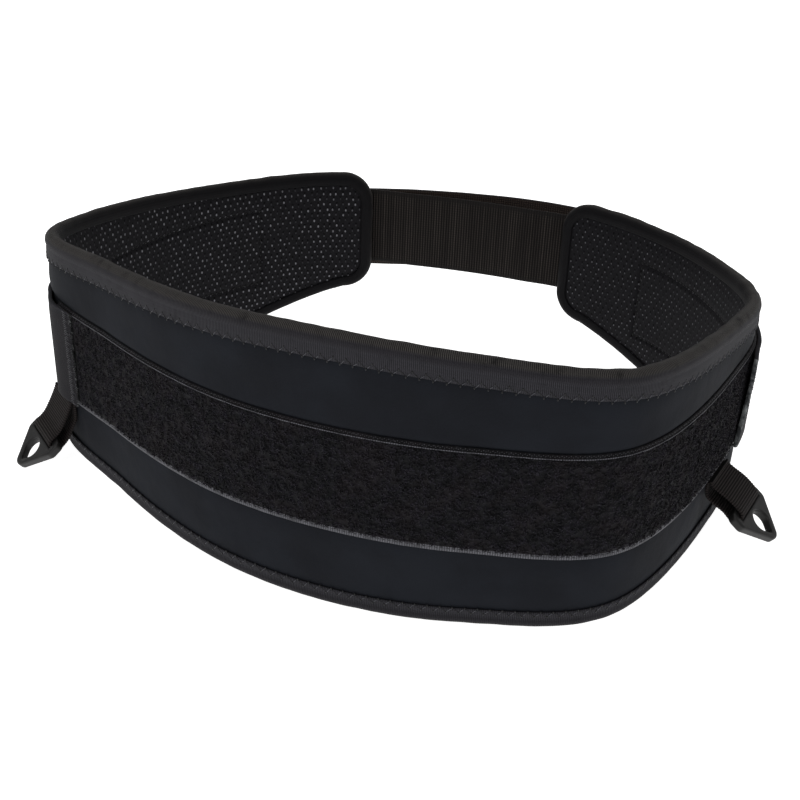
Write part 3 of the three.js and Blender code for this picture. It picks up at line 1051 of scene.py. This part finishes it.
def closure_strap():
    """The long strap: sewn down at its left end, round the back, and pressed on the band at the right."""
    shape = run_strap(STRAP_ROUTE, STRAP, strap_ripple, pitch=2, rows=24)
    flat = shape.loops.layers.uv.active
    for face in shape.faces:
        along = max(corner[flat].uv.x for corner in face.loops)
        _, outward = line_at(along)
        face.material_index = 1 if face.normal.dot(outward) < -0.3 else 0
        if along < FREE_END + 0.95:
            face.material_index = 2
    lint = pile_finish("cut_edge_yarn", dye(56, 58, 60), dye(118, 121, 122))
    finishes = [strap_finish(), hook_finish(), lint]
    strap = piece_of("strap_cloth", shape, finishes, "elastic_webbing", "closure_strap")
    pale = thread_finish("bar_thread", dye(44, 44, 48), dye(88, 88, 92))
    seam = piece_of("strap_bars", strap_bars(), [pale], "elastic_webbing")
    fuzz = piece_of("strap_cut_end", cut_end_fuzz(), [lint], "elastic_webbing")
    flat = (STRAP["height"] * MM, (SEWN_END - FREE_END) * MM)


def cut_end_fuzz():
    """Broken yarn along the strap's cut free end and its sewn end."""
    chance = random.Random(5)
    frames = []
    reach = STRAP["height"] / 2 - 0.4
    for end, facing in ((FREE_END, math.pi), (SEWN_END, 0)):
        for up in spaced(-reach, reach, 0.2):
            wander = up + chance.uniform(-0.2, 0.2)
            spot = strap_spot(STRAP_ROUTE, STRAP, end, wander, chance.uniform(0.05, 0.95), strap_ripple)
            at = belt_frame(*spot)
            turn = Matrix.Rotation(chance.uniform(-0.7, 0.7) + facing, 4, "Z")
            lift = Matrix.Rotation(chance.uniform(-0.9, 0.9), 4, "Y")
            size = Matrix.Diagonal((chance.uniform(0.4, 1.1), 1, 1, 1))
            frames.append(at @ turn @ lift @ size)
    return yarn_strips(frames, [(-0.4, 0), (0.3, 0.05), (0.8, 0.22), (1, 0.5)], half_width=0.09)


def elastic_ripple(along, up, face):
    """The elastic's upright ribs, which stop short of its plain edges."""
    inside = 1 - eased(abs(up - ELASTIC["rise"]), ELASTIC["height"] / 2 - 3, ELASTIC["height"] / 2 - 2.4)
    rib = math.sin(2 * math.pi * along / ELASTIC_RIB)
    return 0.2 * rib * inside * (2 * face - 1)


def back_elastic():
    """The elastic across the back, which joins the support's two ends."""
    shape = run_strap(ELASTIC_ROUTE, ELASTIC, elastic_ripple, pitch=ELASTIC_RIB / 4, rows=20)
    piece = piece_of("elastic_cloth", shape, [elastic_finish()], "elastic_webbing", "back_elastic")


# The tabs and rings

def tab_frame(tab):
    """A frame at the band's lower edge, in millimetres: x out of the belt, y along it and z up."""
    pitch = BELT_LENGTH / LOOP_FACETS
    facet = math.floor(tab["along"] / pitch) * pitch
    start, end = on_belt(facet, -BAND_HALF, 0), on_belt(facet + pitch, -BAND_HALF, 0)
    sideways = (end - start).normalized()
    upward = (STANDING.to_3x3() @ Vector((0, 0, 1))).normalized()
    outward = sideways.cross(upward)
    axes = Matrix((outward, sideways, upward)).transposed().to_4x4()
    return Matrix.Translation((start + end) / 2) @ axes @ Matrix.Scale(MM, 4)


def webbing_line(tab):
    """The webbing's middle line seen from the side: down, round the ring's bar and back up."""
    clearance = FIT_GAP + WEBBING["thickness"] / 2
    over_bar = RING["thickness"] / 2 + clearance
    beside_bar = RING_BAR + clearance
    droop = math.radians(tab["droop"])
    lengthwise = Vector((math.cos(droop), -math.sin(droop), 0))
    upwards = Vector((math.sin(droop), math.cos(droop), 0))
    ring = Vector((tab["out"], tab["up"], 0))
    back = NEOPRENE["outer"] + clearance
    front = back + WEBBING["thickness"] + FIT_GAP
    fold = 1.4

    def in_ring(x, z):
        return ring + lengthwise * x + upwards * z

    route = [
        Vector((front, -FIT_GAP, 0)),
        Vector((front + 0.3, -1.8, 0)),
        in_ring(-RING_BAR, over_bar + 0.6),
        in_ring(RING_BAR - 0.4, over_bar),
        in_ring(beside_bar, over_bar - fold),
        in_ring(beside_bar, fold - over_bar),
        in_ring(RING_BAR - 0.4, -over_bar),
        in_ring(-RING_BAR / 2, -over_bar),
        Vector((back + 1.2, tab["up"] / 2 - 3, 0)),
        Vector((back, tab["up"] / 2, 0)),
        Vector((back, -1.4, 0)),
    ]
    return even_steps(spline(route, closed=False), WEBBING["rib"] / 4)


def tab_webbing(tab, weave):
    """A short webbing loop with cross ribs, which holds the ring."""
    line, length = webbing_line(tab)
    at = tab_frame(tab)
    half_width = WEBBING["width"] / 2
    half = WEBBING["thickness"] / 2
    last = len(line) - 1

    def place(station, mark):
        i, fullness = station
        across, side = mark
        tangent = (line[min(i + 1, last)] - line[max(i - 1, 0)]).normalized()
        travelled = length * i / last
        rib = 0.17 - 0.17 * math.cos(2 * math.pi * travelled / WEBBING["rib"])
        middle = line[i] + Vector((-tangent.y, tangent.x, 0)) * side * fullness * (half - 0.15 + rib)
        wander = 0.25 * drift(travelled / 4, across / 40, 8)
        return at @ Vector((middle.x, across + wander, middle.y)), (travelled, across)

    stations = [(0, 0), *((i, 1) for i in range(last + 1)), (last, 0)]
    rim = [(half_width - 0.1, 0.7), (half_width, 0), (half_width - 0.1, -0.7)]
    shape = woven(stations, ribbon_section(half_width, 0.4, 1.9, rim, -1), place)
    name = f"{tab['side']}_tab_cloth"
    piece = piece_of(name, shape, [weave], "tab_webbing", f"{tab['side']}_tab_webbing")
    length * MM


def arc(centre_x, centre_y, radius, start, end):
    """Points round an arc, from one angle to another."""
    steps = max(4, round(abs(end - start) / math.radians(9)))
    return [
        (centre_x + radius * math.cos(turn), centre_y + radius * math.sin(turn))
        for turn in (start + (end - start) * i / steps for i in range(steps + 1))
    ]


def ring_outline():
    """The ring's outer edge, drawn in by its rounding: square shoulders and a tapered tip."""
    tip = RING["tip"] - RING_EDGE
    corner = RING["corner"] - RING_EDGE
    corner_y = RING["width"] / 2 - RING_EDGE - corner
    shoulder = Vector((RING["shoulder"], corner_y))
    span = Vector((RING["length"] - RING_EDGE - tip, 0)) - shoulder
    lean = math.atan2(-span.y, span.x) - math.asin((corner - tip) / span.length)
    turn = math.pi / 2 - lean
    near = RING_EDGE + corner
    return [
        *arc(RING["length"] - RING_EDGE - tip, 0, tip, -turn, turn),
        *arc(shoulder.x, corner_y, corner, turn, math.pi / 2),
        *arc(near, corner_y, corner, math.pi / 2, math.pi),
        *arc(near, -corner_y, corner, math.pi, 1.5 * math.pi),
        *arc(shoulder.x, -corner_y, corner, 1.5 * math.pi, 2 * math.pi - turn),
    ]


def ring_slot():
    """The slot that the webbing runs through, let out by its rounding."""
    near = RING_BAR - RING_EDGE
    far = RING_BAR + RING_SLOT["height"] + RING_EDGE
    half = RING_SLOT["width"] / 2 + RING_EDGE
    return [(near, -half), (far, -half), (far, half), (near, half)]


def ring_eye():
    """The open eye in the ring's tip, let out by its rounding."""
    wide = RING_EYE["from"] + RING_EYE["wide"]
    narrow = RING_EYE["to"] - RING_EYE["tip"]
    wide_radius = RING_EYE["wide"] + RING_EDGE
    tip_radius = RING_EYE["tip"] + RING_EDGE
    turn = math.pi / 2 - math.asin((wide_radius - tip_radius) / (narrow - wide))
    return [*arc(narrow, 0, tip_radius, turn, -turn), *arc(wide, 0, wide_radius, -turn, turn - 2 * math.pi)]


def plastic_ring(tab, plastic):
    """A moulded ring with rounded edges, drooping from its webbing."""
    name = f"{tab['side']}_ring_plastic"
    drawing = bpy.data.curves.new(name, "CURVE")
    drawing.dimensions = "2D"
    drawing.fill_mode = "BOTH"
    drawing.extrude = (RING["thickness"] / 2 - RING_EDGE) * MM
    drawing.bevel_depth = RING_EDGE * MM
    drawing.bevel_resolution = 4
    for outline in (ring_outline(), ring_slot(), ring_eye()):
        line = drawing.splines.new("POLY")
        line.points.add(len(outline) - 1)
        for point, (x, y) in zip(line.points, outline):
            point.co = (x * MM, y * MM, 0, 1)
        line.use_cyclic_u = True
    pattern = bpy.data.objects.new(name, drawing)
    ring = bmesh.new()
    flat_mesh = pattern.to_mesh()
    ring.from_mesh(flat_mesh)
    pattern.to_mesh_clear()
    bpy.data.objects.remove(pattern)
    sealed(ring)
    droop = Matrix.Rotation(math.radians(tab["droop"]), 4, "Y")
    at = tab_frame(tab) @ Matrix.Translation((tab["out"], 0, tab["up"])) @ droop
    bmesh.ops.transform(ring, matrix=at @ Matrix.Scale(1 / MM, 4), verts=ring.verts)
    piece = piece_of(name, ring, [plastic], "ring_plastic", f"{tab['side']}_ring")
    faces = piece.modifiers.new("flat_faces", "WEIGHTED_NORMAL")
    faces.keep_sharp = True


# The studio

def studio():
    """The camera and soft light."""
    azimuth, elevation, roll = (math.radians(CAMERA[key]) for key in ("azimuth", "elevation", "roll"))
    tilt = Matrix.Rotation(math.pi / 2 - elevation, 4, "X")
    view = Matrix.Rotation(azimuth, 4, "Z") @ tilt @ Matrix.Rotation(roll, 4, "Z")
    camera = added("camera", bpy.data.cameras.new("camera"))
    camera.data.lens = CAMERA["lens"]
    target = Matrix.Translation(Vector(CAMERA["target"]) * MM)
    camera.matrix_world = target @ view @ Matrix.Translation((0, 0, CAMERA["distance"] * MM))
    bpy.context.scene.camera = camera
    lamps = [
        ("left_softbox", (-0.3, -1.15, 0.95), 0.8, 4.3),
        ("right_softbox", (0.9, -0.9, 0.7), 0.9, 0.35),
        ("overhead_softbox", (0.0, 0.2, 1.3), 1.2, 4.7),
    ]
    for name, position, size, power in lamps:
        lamp = added(name, bpy.data.lights.new(name, "AREA"))
        lamp.data.size = size
        lamp.data.energy = power
        lamp.location = position
        lamp.rotation_euler = (-Vector(position)).to_track_quat("-Z", "Y").to_euler()
    world = bpy.data.worlds.new("studio_white")
    world.use_nodes = True
    settle(world.node_tree.nodes["Background"], {"Color": (1, 1, 1, 1), "Strength": 0.45})
    bpy.context.scene.world = world
    bpy.context.scene.view_settings.view_transform = "Standard"


def pale_floor():
    """A white table that glows faintly, as on a lit sweep."""
    table = bmesh.new()
    bmesh.ops.create_grid(table, x_segments=1, y_segments=1, size=4)
    finish = Finish("floor_white", roughness=0.9, specular=0.1, sheen=0)
    settle(finish.shader, {"Emission Color": (1, 1, 1, 1), "Emission Strength": 0.85})
    white = finish.mix(finish.mottle(400, 2), (0.93, 0.93, 0.93, 1), (0.95, 0.95, 0.95, 1))
    solid_of("floor", table, [finish.dyed(white)])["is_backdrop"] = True


studio()
pale_floor()
neoprene_support()
mesh_lining()
edge_binding()
loop_band()
closure_strap()
back_elastic()
weave = webbing_finish()
plastic = ring_finish()
for tab in TABS:
    tab_webbing(tab, weave)
    plastic_ring(tab, plastic)

boxes = {"cad": CAD_BOX, "visual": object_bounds()}
{name: [list(corner) for corner in box] for name, box in boxes.items()}
